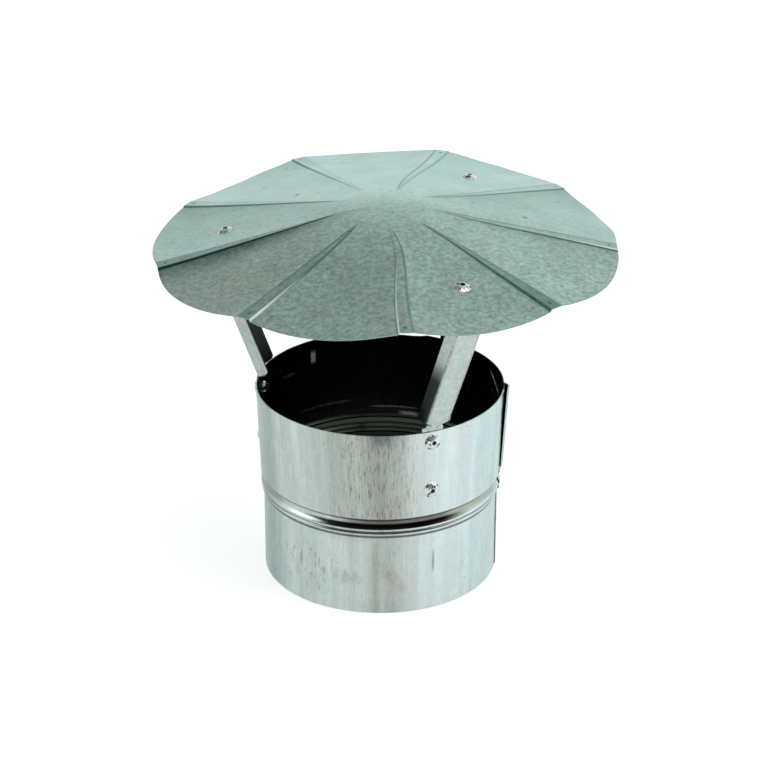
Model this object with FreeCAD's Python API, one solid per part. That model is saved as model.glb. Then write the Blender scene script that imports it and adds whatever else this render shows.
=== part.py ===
import FreeCAD, Part
import math
import os

# Chimney cap: a pleated sheet hood on three folded legs, riveted inside a rolled and beaded collar.
# Millimetres. +Z is up and is the flue's axis. The origin is the centre of the collar's bottom edge.

V = FreeCAD.Vector
Z_AXIS = V(0, 0, 1)

# Sheet
SHEET = 0.5

# Collar, all radii to the outside of the sheet
COLLAR_HEIGHT = 95.3
RIM_RADIUS = 60.0
WAIST_RADIUS = 58.3
SPIGOT_RADIUS = 57.0
SPIGOT_LENGTH = 40.5

# Beads rolled above the spigot, from the bottom up
SMALL_BEAD_HEIGHT = 2.2
BEAD_GROOVE_HEIGHT = 1.2
LARGE_BEAD_HEIGHT = 4.2
BEAD_RISE = 0.4
GROOVE_DEPTH = 0.6

# Folded seam that closes the collar
SEAM_AZIMUTH = -4.8
SEAM_WIDTH = 7.8
SEAM_RISE_AT_BEADS = 1.2
SEAM_RISE_AT_RIM = 2.4
SEAM_GROOVE_WIDTH = 0.6
SEAM_GROOVE_DEPTH = 0.55

# Hood
PLEATS = 9
FIRST_PLEAT_AZIMUTH = 114.5
SHARP_SIDES = (1, 1, 1, 1, -1, -1, -1, -1, -1)
HOOD_CLEAR_HEIGHT = 74.3
HOOD_RADIUS = 110.2
PLEAT_SHORTFALL = 1.7
PLEAT_SLOPE = 10.1
PLEAT_START_RADIUS = 21.8
PLEAT_WIDTH = 6.7
PLEAT_STEP = 1.0
PANEL_DROP = 2.4
CROWN_RISE = 1.7

# The hood is bent a little and sits off centre and out of level on its legs
HOOD_WARP = 1.8
HOOD_WARP_AZIMUTH = 90.0
HOOD_SHIFT = 2.5
HOOD_TILT_BACK = 1.6
HOOD_TILT_SIDE = 1.1

# Press marks that pin each pleat near the edge
MARK_INSET = 4.2
MARK_WIDTH = 2.4
MARK_DEPTH = 0.3

# Legs
LEGS = 3
LEG_OFFSET_FROM_PANEL = 2.3
FOOT_OFFSET_FROM_HEAD = -2.7
STRUT_SHIFT = 1.6
LEG_SHEET = 0.8
LEG_FLAT = 9.8
LEG_FLANGE = 4.2
LEG_BEND_RADIUS = 2.4
LEG_BEND_ANGLE = 62.0
LEG_FOLD_HEIGHT = 3.2
LEG_HEAD_INSET = 21.2
LEG_TAB_LENGTH = 25.0
FOOT_WIDTH = 10.6
FOOT_DEPTH = 38.0
FOOT_NOTCH_WIDTH = 2.0
FOOT_NOTCH_HEIGHT = 2.2
FLANGE_START = 1.4
FLANGE_END = 7.0
SEAT_GAP = 0.1
FOOT_GAP = 0.05

# Blind rivets
RIVET_SHANK = 4.0
RIVET_HEAD = 8.0
RIVET_HEAD_HEIGHT = 1.5
RIVET_BULB = 5.6
RIVET_BULB_HEIGHT = 2.6
RIVET_STEM = 2.2
RIVET_STEM_RECESS = 0.7
RIVET_STEM_HEAD = 3.2
RIVET_STEM_HEAD_HEIGHT = 1.4
RIVET_HOLE_CLEARANCE = 0.05
RIVET_SEAT_CLEARANCE = 0.03
STEM_CLEARANCE = 0.02
HOOD_RIVET_INSET = 34.9
UPPER_FOOT_RIVET_DROP = 5.3
LOWER_FOOT_RIVET_DROP = 30.7


def around(shape, azimuth):
    """The shape turned about the flue's axis."""
    turned = shape.copy()
    turned.rotate(V(0, 0, 0), Z_AXIS, azimuth)
    return turned


def edge_line(start, end):
    return Part.LineSegment(start, end).toShape()


def edge_arc(start, middle, end):
    return Part.Arc(start, middle, end).toShape()


def face_of(points):
    """A flat face with these corners."""
    return Part.Face(Part.makePolygon(points + [points[0]]))


def revolved(edges, start, sweep):
    """A closed profile in the XZ plane, revolved about the flue's axis."""
    profile = Part.Face(Part.Wire(edges))
    return around(profile.revolve(V(0, 0, 0), Z_AXIS, sweep), start)


def ring_piece(corners, start, sweep):
    """A revolved piece with straight edges, from its (radius, height) corners."""
    points = [V(radius, 0, height) for radius, height in corners]
    edges = [edge_line(a, b) for a, b in zip(points, points[1:] + points[:1])]
    return revolved(edges, start, sweep)


def fused(first, others):
    return first.fuse(others).removeSplitter()


def solid_of(shape):
    """The one solid of a finished shape."""
    assert len(shape.Solids) == 1, "%d solids" % len(shape.Solids)
    solid = shape.Solids[0]
    assert solid.isValid()
    return solid


# Collar

BEADS_HEIGHT = 2 * SMALL_BEAD_HEIGHT + BEAD_GROOVE_HEIGHT + LARGE_BEAD_HEIGHT
WAIST_HEIGHT = SPIGOT_LENGTH + BEADS_HEIGHT


def wall_radius(height):
    """Outer radius of the plain wall between the beads and the rim."""
    share = (height - WAIST_HEIGHT) / (COLLAR_HEIGHT - WAIST_HEIGHT)
    return WAIST_RADIUS + share * (RIM_RADIUS - WAIST_RADIUS)


def bead_line(height):
    """Radius of the straight line from the spigot to the waist, which the beads stand out from."""
    return SPIGOT_RADIUS + (height - SPIGOT_LENGTH) / BEADS_HEIGHT * (WAIST_RADIUS - SPIGOT_RADIUS)


def bead_edges(offset):
    """Two small beads, a groove and a large bead, moved out by the offset, from the bottom up."""
    first = SPIGOT_LENGTH + SMALL_BEAD_HEIGHT
    second = first + SMALL_BEAD_HEIGHT
    groove = second + BEAD_GROOVE_HEIGHT

    def point(height, rise):
        return V(bead_line(height) + rise + offset, 0, height)

    def bead(low, high, low_rise, high_rise):
        return edge_arc(point(low, low_rise), point((low + high) / 2, BEAD_RISE), point(high, high_rise))

    return [
        bead(SPIGOT_LENGTH, first, 0, 0),
        bead(first, second, 0, 0),
        edge_line(point(second, 0), point(groove, -GROOVE_DEPTH)),
        bead(groove, WAIST_HEIGHT, -GROOVE_DEPTH, 0),
    ]


def closed_band(outer_edges, inner_edges):
    """Outer and inner edges, both from the bottom up, joined at their ends."""
    low = edge_line(inner_edges[0].Vertexes[0].Point, outer_edges[0].Vertexes[0].Point)
    high = edge_line(outer_edges[-1].Vertexes[-1].Point, inner_edges[-1].Vertexes[-1].Point)
    return [low] + outer_edges + [high] + inner_edges[::-1]


def wall_edges(offset):
    bottom = V(SPIGOT_RADIUS + offset, 0, 0)
    shoulder = V(SPIGOT_RADIUS + offset, 0, SPIGOT_LENGTH)
    waist = V(WAIST_RADIUS + offset, 0, WAIST_HEIGHT)
    rim = V(RIM_RADIUS + offset, 0, COLLAR_HEIGHT)
    return [edge_line(bottom, shoulder)] + bead_edges(offset) + [edge_line(waist, rim)]


def make_collar():
    wall = revolved(closed_band(wall_edges(0), wall_edges(-SHEET)), 0, 360)

    width = math.degrees(SEAM_WIDTH / RIM_RADIUS)
    start = SEAM_AZIMUTH - width / 2
    skin = math.degrees(SHEET / RIM_RADIUS)

    # Above the beads the seam is a hollow fold that stands out further towards the rim.
    fold = ring_piece([
        (WAIST_RADIUS - SHEET, WAIST_HEIGHT),
        (WAIST_RADIUS + SEAM_RISE_AT_BEADS, WAIST_HEIGHT),
        (RIM_RADIUS + SEAM_RISE_AT_RIM, COLLAR_HEIGHT),
        (RIM_RADIUS - SHEET, COLLAR_HEIGHT),
    ], start, width)
    hollow = ring_piece([
        (WAIST_RADIUS - 2 * SHEET, WAIST_HEIGHT + SHEET),
        (WAIST_RADIUS + SEAM_RISE_AT_BEADS - SHEET, WAIST_HEIGHT + SHEET),
        (RIM_RADIUS + SEAM_RISE_AT_RIM - SHEET, COLLAR_HEIGHT + SHEET),
        (RIM_RADIUS - 2 * SHEET, COLLAR_HEIGHT + SHEET),
    ], start + skin, width - 2 * skin)

    # Over the beads the fold is pressed flat, and on the spigot it is turned inwards.
    strap = revolved(closed_band(bead_edges(SHEET), bead_edges(-SHEET)), start, width)
    backing = ring_piece([
        (SPIGOT_RADIUS - 2 * SHEET, 0),
        (SPIGOT_RADIUS - SHEET / 2, 0),
        (SPIGOT_RADIUS - SHEET / 2, SPIGOT_LENGTH),
        (SPIGOT_RADIUS - 2 * SHEET, SPIGOT_LENGTH),
    ], start, width)
    groove_width = math.degrees(SEAM_GROOVE_WIDTH / SPIGOT_RADIUS)
    groove = ring_piece([
        (SPIGOT_RADIUS - SEAM_GROOVE_DEPTH, 0),
        (SPIGOT_RADIUS + SHEET, 0),
        (SPIGOT_RADIUS + SHEET, SPIGOT_LENGTH),
        (SPIGOT_RADIUS - SEAM_GROOVE_DEPTH, SPIGOT_LENGTH),
    ], start + groove_width, groove_width)

    collar = fused(wall, [fold, strap, backing]).cut([hollow, groove])
    return collar


# Hood

RIM_HEIGHT = COLLAR_HEIGHT + HOOD_CLEAR_HEIGHT
PLEAT_RADIUS = HOOD_RADIUS - PLEAT_SHORTFALL
PLEAT_FALL = (PLEAT_RADIUS - PLEAT_START_RADIUS) * math.tan(math.radians(PLEAT_SLOPE))
CROWN_EDGE_HEIGHT = RIM_HEIGHT + PLEAT_FALL
PLEAT_PITCH = 360.0 / PLEATS


def polar(radius, azimuth, height):
    angle = math.radians(azimuth)
    return V(radius * math.cos(angle), radius * math.sin(angle), height)


def edge_height(azimuth):
    """Height of a pleat's end: the warp lifts two opposite sides and drops the other two."""
    return RIM_HEIGHT + HOOD_WARP * math.cos(math.radians(2 * (azimuth - HOOD_WARP_AZIMUTH)))


def pleat_height(azimuth, radius):
    """Height of a pleat's top, which falls straight from the crown to its end."""
    share = (radius - PLEAT_START_RADIUS) / (PLEAT_RADIUS - PLEAT_START_RADIUS)
    return CROWN_EDGE_HEIGHT + share * (edge_height(azimuth) - CROWN_EDGE_HEIGHT)


class Pleat:
    """The points of one pleat. Its strip is level with the crown, and one side of it is a sharp step down."""

    def __init__(self, azimuth, sharp_side):
        self.sharp_side = sharp_side
        self.tip = polar(PLEAT_START_RADIUS, azimuth, CROWN_EDGE_HEIGHT)
        self.soft_top = self.end(azimuth, -sharp_side * PLEAT_WIDTH / 2, 0)
        self.sharp_top = self.end(azimuth, sharp_side * PLEAT_WIDTH / 2, 0)
        self.sharp_foot = self.end(azimuth, sharp_side * PLEAT_WIDTH / 2, PLEAT_STEP)
        inside = sharp_side * (PLEAT_WIDTH / 2 - SHEET)
        self.inside_top = self.end(azimuth, inside, 0)
        self.inside_foot = self.end(azimuth, inside, PLEAT_STEP)

    def end(self, azimuth, across, drop):
        corner = V(PLEAT_RADIUS, across, edge_height(azimuth) - drop)
        return FreeCAD.Rotation(Z_AXIS, azimuth).multVec(corner)

    def panel_point(self, side):
        """Where the panel on this side of the pleat meets it at the hood's edge."""
        return self.sharp_foot if side == self.sharp_side else self.soft_top

    def faces(self):
        tip, under = self.tip, lowered(self.tip)
        top = [
            face_of([tip, self.soft_top, self.sharp_top]),
            face_of([tip, self.sharp_top, self.sharp_foot]),
        ]
        bottom = [
            face_of([under, lowered(self.soft_top), lowered(self.inside_top)]),
            face_of([under, lowered(self.inside_top), lowered(self.inside_foot)]),
            face_of([under, lowered(self.inside_foot), lowered(self.sharp_foot)]),
        ]
        rim = face_of([
            self.soft_top,
            self.sharp_top,
            self.sharp_foot,
            lowered(self.sharp_foot),
            lowered(self.inside_foot),
            lowered(self.inside_top),
            lowered(self.soft_top),
        ])
        return top + bottom + [rim]


def lowered(point):
    """The point under a top point, on the sheet's other face."""
    return point - V(0, 0, SHEET)


def panel_faces(azimuth, pleat, next_pleat):
    """One panel: straight lines fan out from the crown to a bowed edge that sags between pleats."""
    middle = azimuth + PLEAT_PITCH / 2
    start, end = pleat.panel_point(1), next_pleat.panel_point(-1)
    inner = [pleat.tip, polar(PLEAT_START_RADIUS, middle, CROWN_EDGE_HEIGHT), next_pleat.tip]
    outer = [start, polar(HOOD_RADIUS, middle, (start.z + end.z) / 2 - PANEL_DROP), end]
    top = Part.makeRuledSurface(edge_arc(*inner), edge_arc(*outer))
    bottom = Part.makeRuledSurface(edge_arc(*map(lowered, inner)), edge_arc(*map(lowered, outer)))
    rim = Part.makeRuledSurface(edge_arc(*outer), edge_arc(*map(lowered, outer)))
    return [top, bottom, rim]


def crown_faces(azimuth):
    """A sector of the crown's low dome, on both faces of the sheet."""
    sphere_radius = (PLEAT_START_RADIUS ** 2 + CROWN_RISE ** 2) / (2 * CROWN_RISE)
    half = math.asin(PLEAT_START_RADIUS / sphere_radius) / 2
    apex = V(0, 0, CROWN_EDGE_HEIGHT + CROWN_RISE)
    middle = polar(sphere_radius * math.sin(half), azimuth, apex.z - sphere_radius * (1 - math.cos(half)))
    profile = [apex, middle, polar(PLEAT_START_RADIUS, azimuth, CROWN_EDGE_HEIGHT)]
    arcs = [edge_arc(*profile), edge_arc(*map(lowered, profile))]
    return [arc.revolve(V(0, 0, 0), Z_AXIS, PLEAT_PITCH) for arc in arcs]


def make_mark(azimuth):
    """The ball that presses a pleat's mark."""
    ball_radius = (MARK_WIDTH ** 2 / 4 + MARK_DEPTH ** 2) / (2 * MARK_DEPTH)
    radius = PLEAT_RADIUS - MARK_INSET
    height = pleat_height(azimuth, radius) + ball_radius - MARK_DEPTH
    return Part.makeSphere(ball_radius, polar(radius, azimuth, height))


def settled(shape):
    """The hood as it sits on its legs: tilted about the middle of its edge, then shifted."""
    centre = V(0, 0, RIM_HEIGHT)
    placed = shape.copy()
    placed.rotate(centre, V(1, 0, 0), HOOD_TILT_BACK)
    placed.rotate(centre, V(0, 1, 0), -HOOD_TILT_SIDE)
    placed.translate(V(HOOD_SHIFT, 0, 0))
    return placed


def make_hood():
    azimuths = [FIRST_PLEAT_AZIMUTH + index * PLEAT_PITCH for index in range(PLEATS)]
    pleats = [Pleat(azimuth, side) for azimuth, side in zip(azimuths, SHARP_SIDES)]
    faces = []
    for azimuth, pleat, next_pleat in zip(azimuths, pleats, pleats[1:] + pleats[:1]):
        faces += pleat.faces() + panel_faces(azimuth, pleat, next_pleat) + crown_faces(azimuth)
    skin = Part.Compound(faces)
    skin.sewShape()
    sheet = Part.Solid(skin.Shells[0])
    if sheet.Volume < 0:
        sheet.reverse()
    return settled(sheet.cut([make_mark(azimuth) for azimuth in azimuths]))


# Legs

LEG_HEAD_RADIUS = HOOD_RADIUS - LEG_HEAD_INSET
LEG_TAB_END_RADIUS = LEG_HEAD_RADIUS - LEG_TAB_LENGTH
HOOD_RIVET_RADIUS = HOOD_RADIUS - HOOD_RIVET_INSET


class Seat:
    """The flat spot under the hood that a leg's tab lies on, and the hood's top face over it."""

    def __init__(self, hood, azimuth):
        self.hood = hood
        self.azimuth = azimuth
        near, far = LEG_TAB_END_RADIUS, LEG_HEAD_RADIUS
        sides = (-LEG_FLAT / 2, LEG_FLAT / 2)
        corners = [self.faces(radius, across)[0] for radius in (near, far) for across in sides]
        self.up = (corners[2] - corners[1]).cross(corners[3] - corners[0]).normalize()
        centre = self.faces(HOOD_RIVET_RADIUS, 0)[0]
        lowest = min((corner - centre).dot(self.up) for corner in corners + [centre])
        self.centre = centre + self.up * (lowest - SEAT_GAP)

    def spot(self, radius, across, height=0):
        """A point in the hood's own plan, where the leg's radial line and its sideways distance meet."""
        return V(HOOD_SHIFT, 0, height) + FreeCAD.Rotation(Z_AXIS, self.azimuth).multVec(V(radius, across, 0))

    def faces(self, radius, across):
        """The hood's underside and top face at a spot."""
        low, high = (self.spot(radius, across, height) for height in (COLLAR_HEIGHT, 2 * RIM_HEIGHT))
        plumb = edge_line(low, high)
        hits = [vertex.Point for vertex in self.hood.common(plumb).Vertexes]
        return min(hits, key=lambda hit: hit.z), max(hits, key=lambda hit: hit.z)

    def corner(self, radius, across):
        """The point of the flat spot under or over a point of the plan."""
        point = self.spot(radius, across)
        return point + V(0, 0, (self.centre - point).dot(self.up) / self.up.z)

    def plate(self, width, thickness):
        """A flat plate on the spot: the tab, or the room over it."""
        near, far = LEG_TAB_END_RADIUS, LEG_HEAD_RADIUS
        if thickness > 0:
            far += LEG_SHEET * 4
        corners = [(near, -1), (far, -1), (far, 1), (near, 1)]
        outline = [self.corner(radius, side * width / 2) for radius, side in corners]
        return face_of(outline).extrude(self.up * thickness)

    def joint(self):
        """The rivet through the hood and the tab, with its head clear of the hood's slight hollow."""
        half = RIVET_HEAD / 2
        around_head = [(-half, 0), (half, 0), (0, -half), (0, half), (0, 0)]
        tops = [self.faces(HOOD_RIVET_RADIUS + out, across)[1] for out, across in around_head]
        highest = max((top - self.centre).dot(self.up) for top in tops)
        return Joint(self.centre + self.up * highest, self.up, highest + LEG_SHEET)


class Strut:
    """The straight part of a leg, from its fold over the collar to its head under the hood."""

    def __init__(self, start, end, fold):
        self.start = start
        self.length = (end - start).Length
        self.along = (end - start) / self.length
        self.out = fold.cross(self.along).normalize()
        self.across = self.along.cross(self.out)

    def point(self, along, out, across):
        return self.start + self.along * along + self.out * out + self.across * across

    def flat(self, start, end):
        """A stretch of flat web."""
        corners = [(start, -1), (end, -1), (end, 1), (start, 1)]
        outline = [self.point(at, 0, side * LEG_FLAT / 2) for at, side in corners]
        return face_of(outline).extrude(self.out * -LEG_SHEET)

    def channel(self, start, end):
        """A stretch of open channel: the web with a splayed flange on each side."""
        bend = math.radians(LEG_BEND_ANGLE)
        inside = LEG_BEND_RADIUS - LEG_SHEET

        def on_bend(side, radius, turn):
            across = side * (LEG_FLAT / 2 + radius * math.sin(turn))
            return self.point(start, -LEG_BEND_RADIUS + radius * math.cos(turn), across)

        def tip(side, radius):
            across = side * (LEG_FLAT / 2 + radius * math.sin(bend) + LEG_FLANGE * math.cos(bend))
            out = -LEG_BEND_RADIUS + radius * math.cos(bend) - LEG_FLANGE * math.sin(bend)
            return self.point(start, out, across)

        def face_edges(radius, side):
            """Along one face of the sheet, from the flange on this side to the other one."""
            here = [on_bend(side, radius, turn) for turn in (bend, bend / 2, 0)]
            there = [on_bend(-side, radius, turn) for turn in (0, bend / 2, bend)]
            return [
                edge_line(tip(side, radius), here[0]),
                edge_arc(*here),
                edge_line(here[2], there[0]),
                edge_arc(*there),
                edge_line(there[2], tip(-side, radius)),
            ]

        right_end = edge_line(tip(1, LEG_BEND_RADIUS), tip(1, inside))
        left_end = edge_line(tip(-1, inside), tip(-1, LEG_BEND_RADIUS))
        outline = face_edges(LEG_BEND_RADIUS, -1) + [right_end] + face_edges(inside, 1) + [left_end]
        return Part.Face(Part.Wire(outline)).extrude(self.along * (end - start))


def foot_line(height):
    """Radius of the foot's outer face, which follows the inside of the collar."""
    return wall_radius(height) - SHEET - FOOT_GAP


def make_leg(seat, foot_azimuth, head_holes, foot_holes):
    fold_height = COLLAR_HEIGHT + LEG_FOLD_HEIGHT
    foot_bottom = COLLAR_HEIGHT - FOOT_DEPTH
    sweep = math.degrees(FOOT_WIDTH / foot_line(COLLAR_HEIGHT))
    foot = ring_piece([
        (foot_line(foot_bottom) - LEG_SHEET, foot_bottom),
        (foot_line(foot_bottom), foot_bottom),
        (foot_line(fold_height), fold_height),
        (foot_line(fold_height) - LEG_SHEET, fold_height),
    ], foot_azimuth - sweep / 2, sweep).cut(foot_holes)
    tab = seat.plate(LEG_FLAT, -LEG_SHEET).cut(head_holes)

    fold_side = polar(1, foot_azimuth + 90, 0)
    start = polar(foot_line(fold_height), foot_azimuth, fold_height) + fold_side * STRUT_SHIFT
    strut = Strut(start, seat.corner(LEG_HEAD_RADIUS, 0), fold_side)
    web = strut.flat(-LEG_SHEET / 2, strut.length + LEG_SHEET)
    web = web.cut(seat.plate(2 * LEG_FLAT, RIVET_HEAD))
    channel = strut.channel(FLANGE_START, strut.length - FLANGE_END)
    leg = fused(foot, [web, channel, tab])

    notches = []
    for side in (-1, 1):
        notch = Part.makeBox(6 * LEG_SHEET, 2 * FOOT_NOTCH_WIDTH, FOOT_NOTCH_HEIGHT)
        notch.translate(V(
            foot_line(fold_height) - 4 * LEG_SHEET,
            side * FOOT_WIDTH / 2 - FOOT_NOTCH_WIDTH,
            fold_height - FOOT_NOTCH_HEIGHT / 2,
        ))
        notches.append(around(notch, foot_azimuth))
    return leg.cut(notches)


# Rivets

RIVET_BORE = RIVET_STEM / 2 + STEM_CLEARANCE


class Joint:
    """Where a rivet goes: the outer face of the stack, the way out of it, and the stack's thickness."""

    def __init__(self, face, out, stack):
        self.face = face
        self.out = out
        inside = foot_line(COLLAR_HEIGHT) - LEG_SHEET
        hollow = inside - math.sqrt(inside ** 2 - (RIVET_BULB / 2) ** 2)
        self.back = -(stack + RIVET_SEAT_CLEARANCE + hollow)
        self.end = self.back - RIVET_BULB_HEIGHT

    def placed(self, shape):
        """A shape that was made standing on the origin, set on the joint."""
        moved = shape.copy()
        moved.Placement = FreeCAD.Placement(self.face, FreeCAD.Rotation(Z_AXIS, self.out))
        return moved

    def hole(self):
        reach = RIVET_HEAD
        rod = Part.makeCylinder(RIVET_SHANK / 2 + RIVET_HOLE_CLEARANCE, 2 * reach, V(0, 0, -reach))
        return self.placed(rod)


def foot_joint(drop, azimuth):
    """A rivet through the collar's wall and a foot, square to the wall."""
    height = COLLAR_HEIGHT - drop
    lean = math.degrees(math.atan2(RIM_RADIUS - WAIST_RADIUS, COLLAR_HEIGHT - WAIST_HEIGHT))
    out = polar(math.cos(math.radians(lean)), azimuth, -math.sin(math.radians(lean)))
    return Joint(polar(wall_radius(height), azimuth, height), out, SHEET + FOOT_GAP + LEG_SHEET)


def make_rivet(joint):
    """The hollow body: a domed head outside, a shank through the stack and a bulb behind it."""
    ball_radius = (RIVET_HEAD ** 2 / 4 + RIVET_HEAD_HEIGHT ** 2) / (2 * RIVET_HEAD_HEIGHT)
    ball_height = RIVET_SEAT_CLEARANCE + RIVET_HEAD_HEIGHT - ball_radius

    def on_dome(radius):
        return V(radius, 0, ball_height + math.sqrt(ball_radius ** 2 - radius ** 2))

    head_edge = on_dome(RIVET_HEAD / 2)
    neck = V(RIVET_SHANK / 2, 0, head_edge.z)
    waist = V(RIVET_SHANK / 2, 0, joint.back)
    bulb_top = V(RIVET_BULB / 2 - RIVET_BULB_HEIGHT / 6, 0, joint.back)
    bulb_middle = V(RIVET_BULB / 2, 0, (joint.back + joint.end) / 2)
    bulb_end = V(bulb_top.x, 0, joint.end)
    bore_end = V(RIVET_BORE, 0, joint.end)
    return joint.placed(revolved([
        edge_line(bore_end, on_dome(RIVET_BORE)),
        edge_arc(on_dome(RIVET_BORE), on_dome((RIVET_BORE + RIVET_HEAD / 2) / 2), head_edge),
        edge_line(head_edge, neck),
        edge_line(neck, waist),
        edge_line(waist, bulb_top),
        edge_arc(bulb_top, bulb_middle, bulb_end),
        edge_line(bulb_end, bore_end),
    ], 0, 360))


def make_stem(joint):
    """The steel stem left in the rivet: snapped off inside the head, with its own head behind the bulb."""
    shoulder = joint.end - STEM_CLEARANCE
    button = shoulder - RIVET_STEM_HEAD_HEIGHT
    return joint.placed(ring_piece([
        (0, button),
        (RIVET_STEM_HEAD / 2, button),
        (RIVET_STEM_HEAD / 2, shoulder),
        (RIVET_STEM / 2, shoulder),
        (RIVET_STEM / 2, RIVET_HEAD_HEIGHT - RIVET_STEM_RECESS),
        (0, RIVET_HEAD_HEIGHT - RIVET_STEM_RECESS),
    ], 0, 360))


def save(name, shape):
    solid_of(shape).exportStep("parts/%s.step" % name)


def main():
    os.makedirs("parts", exist_ok=True)
    hood = make_hood()
    collar = make_collar()
    rivets = {}
    first_leg = FIRST_PLEAT_AZIMUTH + 1.5 * PLEAT_PITCH + LEG_OFFSET_FROM_PANEL
    for number in range(1, LEGS + 1):
        head_azimuth = first_leg + (number - 1) * 360.0 / LEGS
        foot_azimuth = head_azimuth + FOOT_OFFSET_FROM_HEAD
        seat = Seat(hood, head_azimuth)
        joints = {
            "hood_rivet": seat.joint(),
            "foot_rivet_upper": foot_joint(UPPER_FOOT_RIVET_DROP, foot_azimuth),
            "foot_rivet_lower": foot_joint(LOWER_FOOT_RIVET_DROP, foot_azimuth),
        }
        head_hole, *foot_holes = [joint.hole() for joint in joints.values()]
        save("leg_%d" % number, make_leg(seat, foot_azimuth, [head_hole], foot_holes))
        for name, joint in joints.items():
            save("%s_%d" % (name, number), make_rivet(joint))
            save("%s_stem_%d" % (name, number), make_stem(joint))
            rivets[name, number] = joint

    hood_holes = [joint.hole() for (name, number), joint in rivets.items() if name == "hood_rivet"]
    collar_holes = [joint.hole() for (name, number), joint in rivets.items() if name != "hood_rivet"]
    save("hood", hood.cut(hood_holes))
    save("collar", collar.cut(collar_holes))


main()
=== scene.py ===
import math

import bmesh
import bpy
from mathutils import Matrix, Vector, noise


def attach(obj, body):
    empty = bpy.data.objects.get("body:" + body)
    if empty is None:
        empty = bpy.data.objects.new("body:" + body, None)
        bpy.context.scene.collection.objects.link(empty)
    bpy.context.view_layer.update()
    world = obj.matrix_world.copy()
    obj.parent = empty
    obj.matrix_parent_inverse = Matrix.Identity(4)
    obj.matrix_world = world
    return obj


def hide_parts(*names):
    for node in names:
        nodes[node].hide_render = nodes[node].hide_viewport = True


# Chimney cap of galvanised sheet, on a pale floor, in the same frame as the solids.
# Lengths are millimetres in the tables and in the functions that make meshes, and metres in the
# materials and in the scene. Azimuths are degrees from +X towards +Y, so the camera is at -90.

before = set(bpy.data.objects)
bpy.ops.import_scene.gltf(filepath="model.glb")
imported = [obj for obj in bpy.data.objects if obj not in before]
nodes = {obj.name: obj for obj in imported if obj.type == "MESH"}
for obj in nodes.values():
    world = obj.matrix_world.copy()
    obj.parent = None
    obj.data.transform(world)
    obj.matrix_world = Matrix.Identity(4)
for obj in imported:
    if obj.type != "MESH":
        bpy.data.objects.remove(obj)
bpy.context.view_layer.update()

scene = bpy.context.scene
scene.view_settings.view_transform = "Standard"

MILLIMETRE = 0.001


# Camera

ELEVATION = math.radians(25.1)
DISTANCE = 1.2
TARGET = Vector((0, 0, 0.0937))

camera_data = bpy.data.cameras.new("camera")
camera_data.sensor_width = 36
camera_data.lens = 116.6
camera_data.shift_x = 0.0048
camera_data.shift_y = 0.0009
camera_data.clip_start = 0.05
camera_data.clip_end = 50
camera = bpy.data.objects.new("camera", camera_data)
back = Vector((0, -math.cos(ELEVATION), math.sin(ELEVATION)))
camera.location = TARGET + back * DISTANCE
camera.rotation_euler = (-back).to_track_quat("-Z", "Y").to_euler()
scene.collection.objects.link(camera)
scene.camera = camera


# Node helpers

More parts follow.
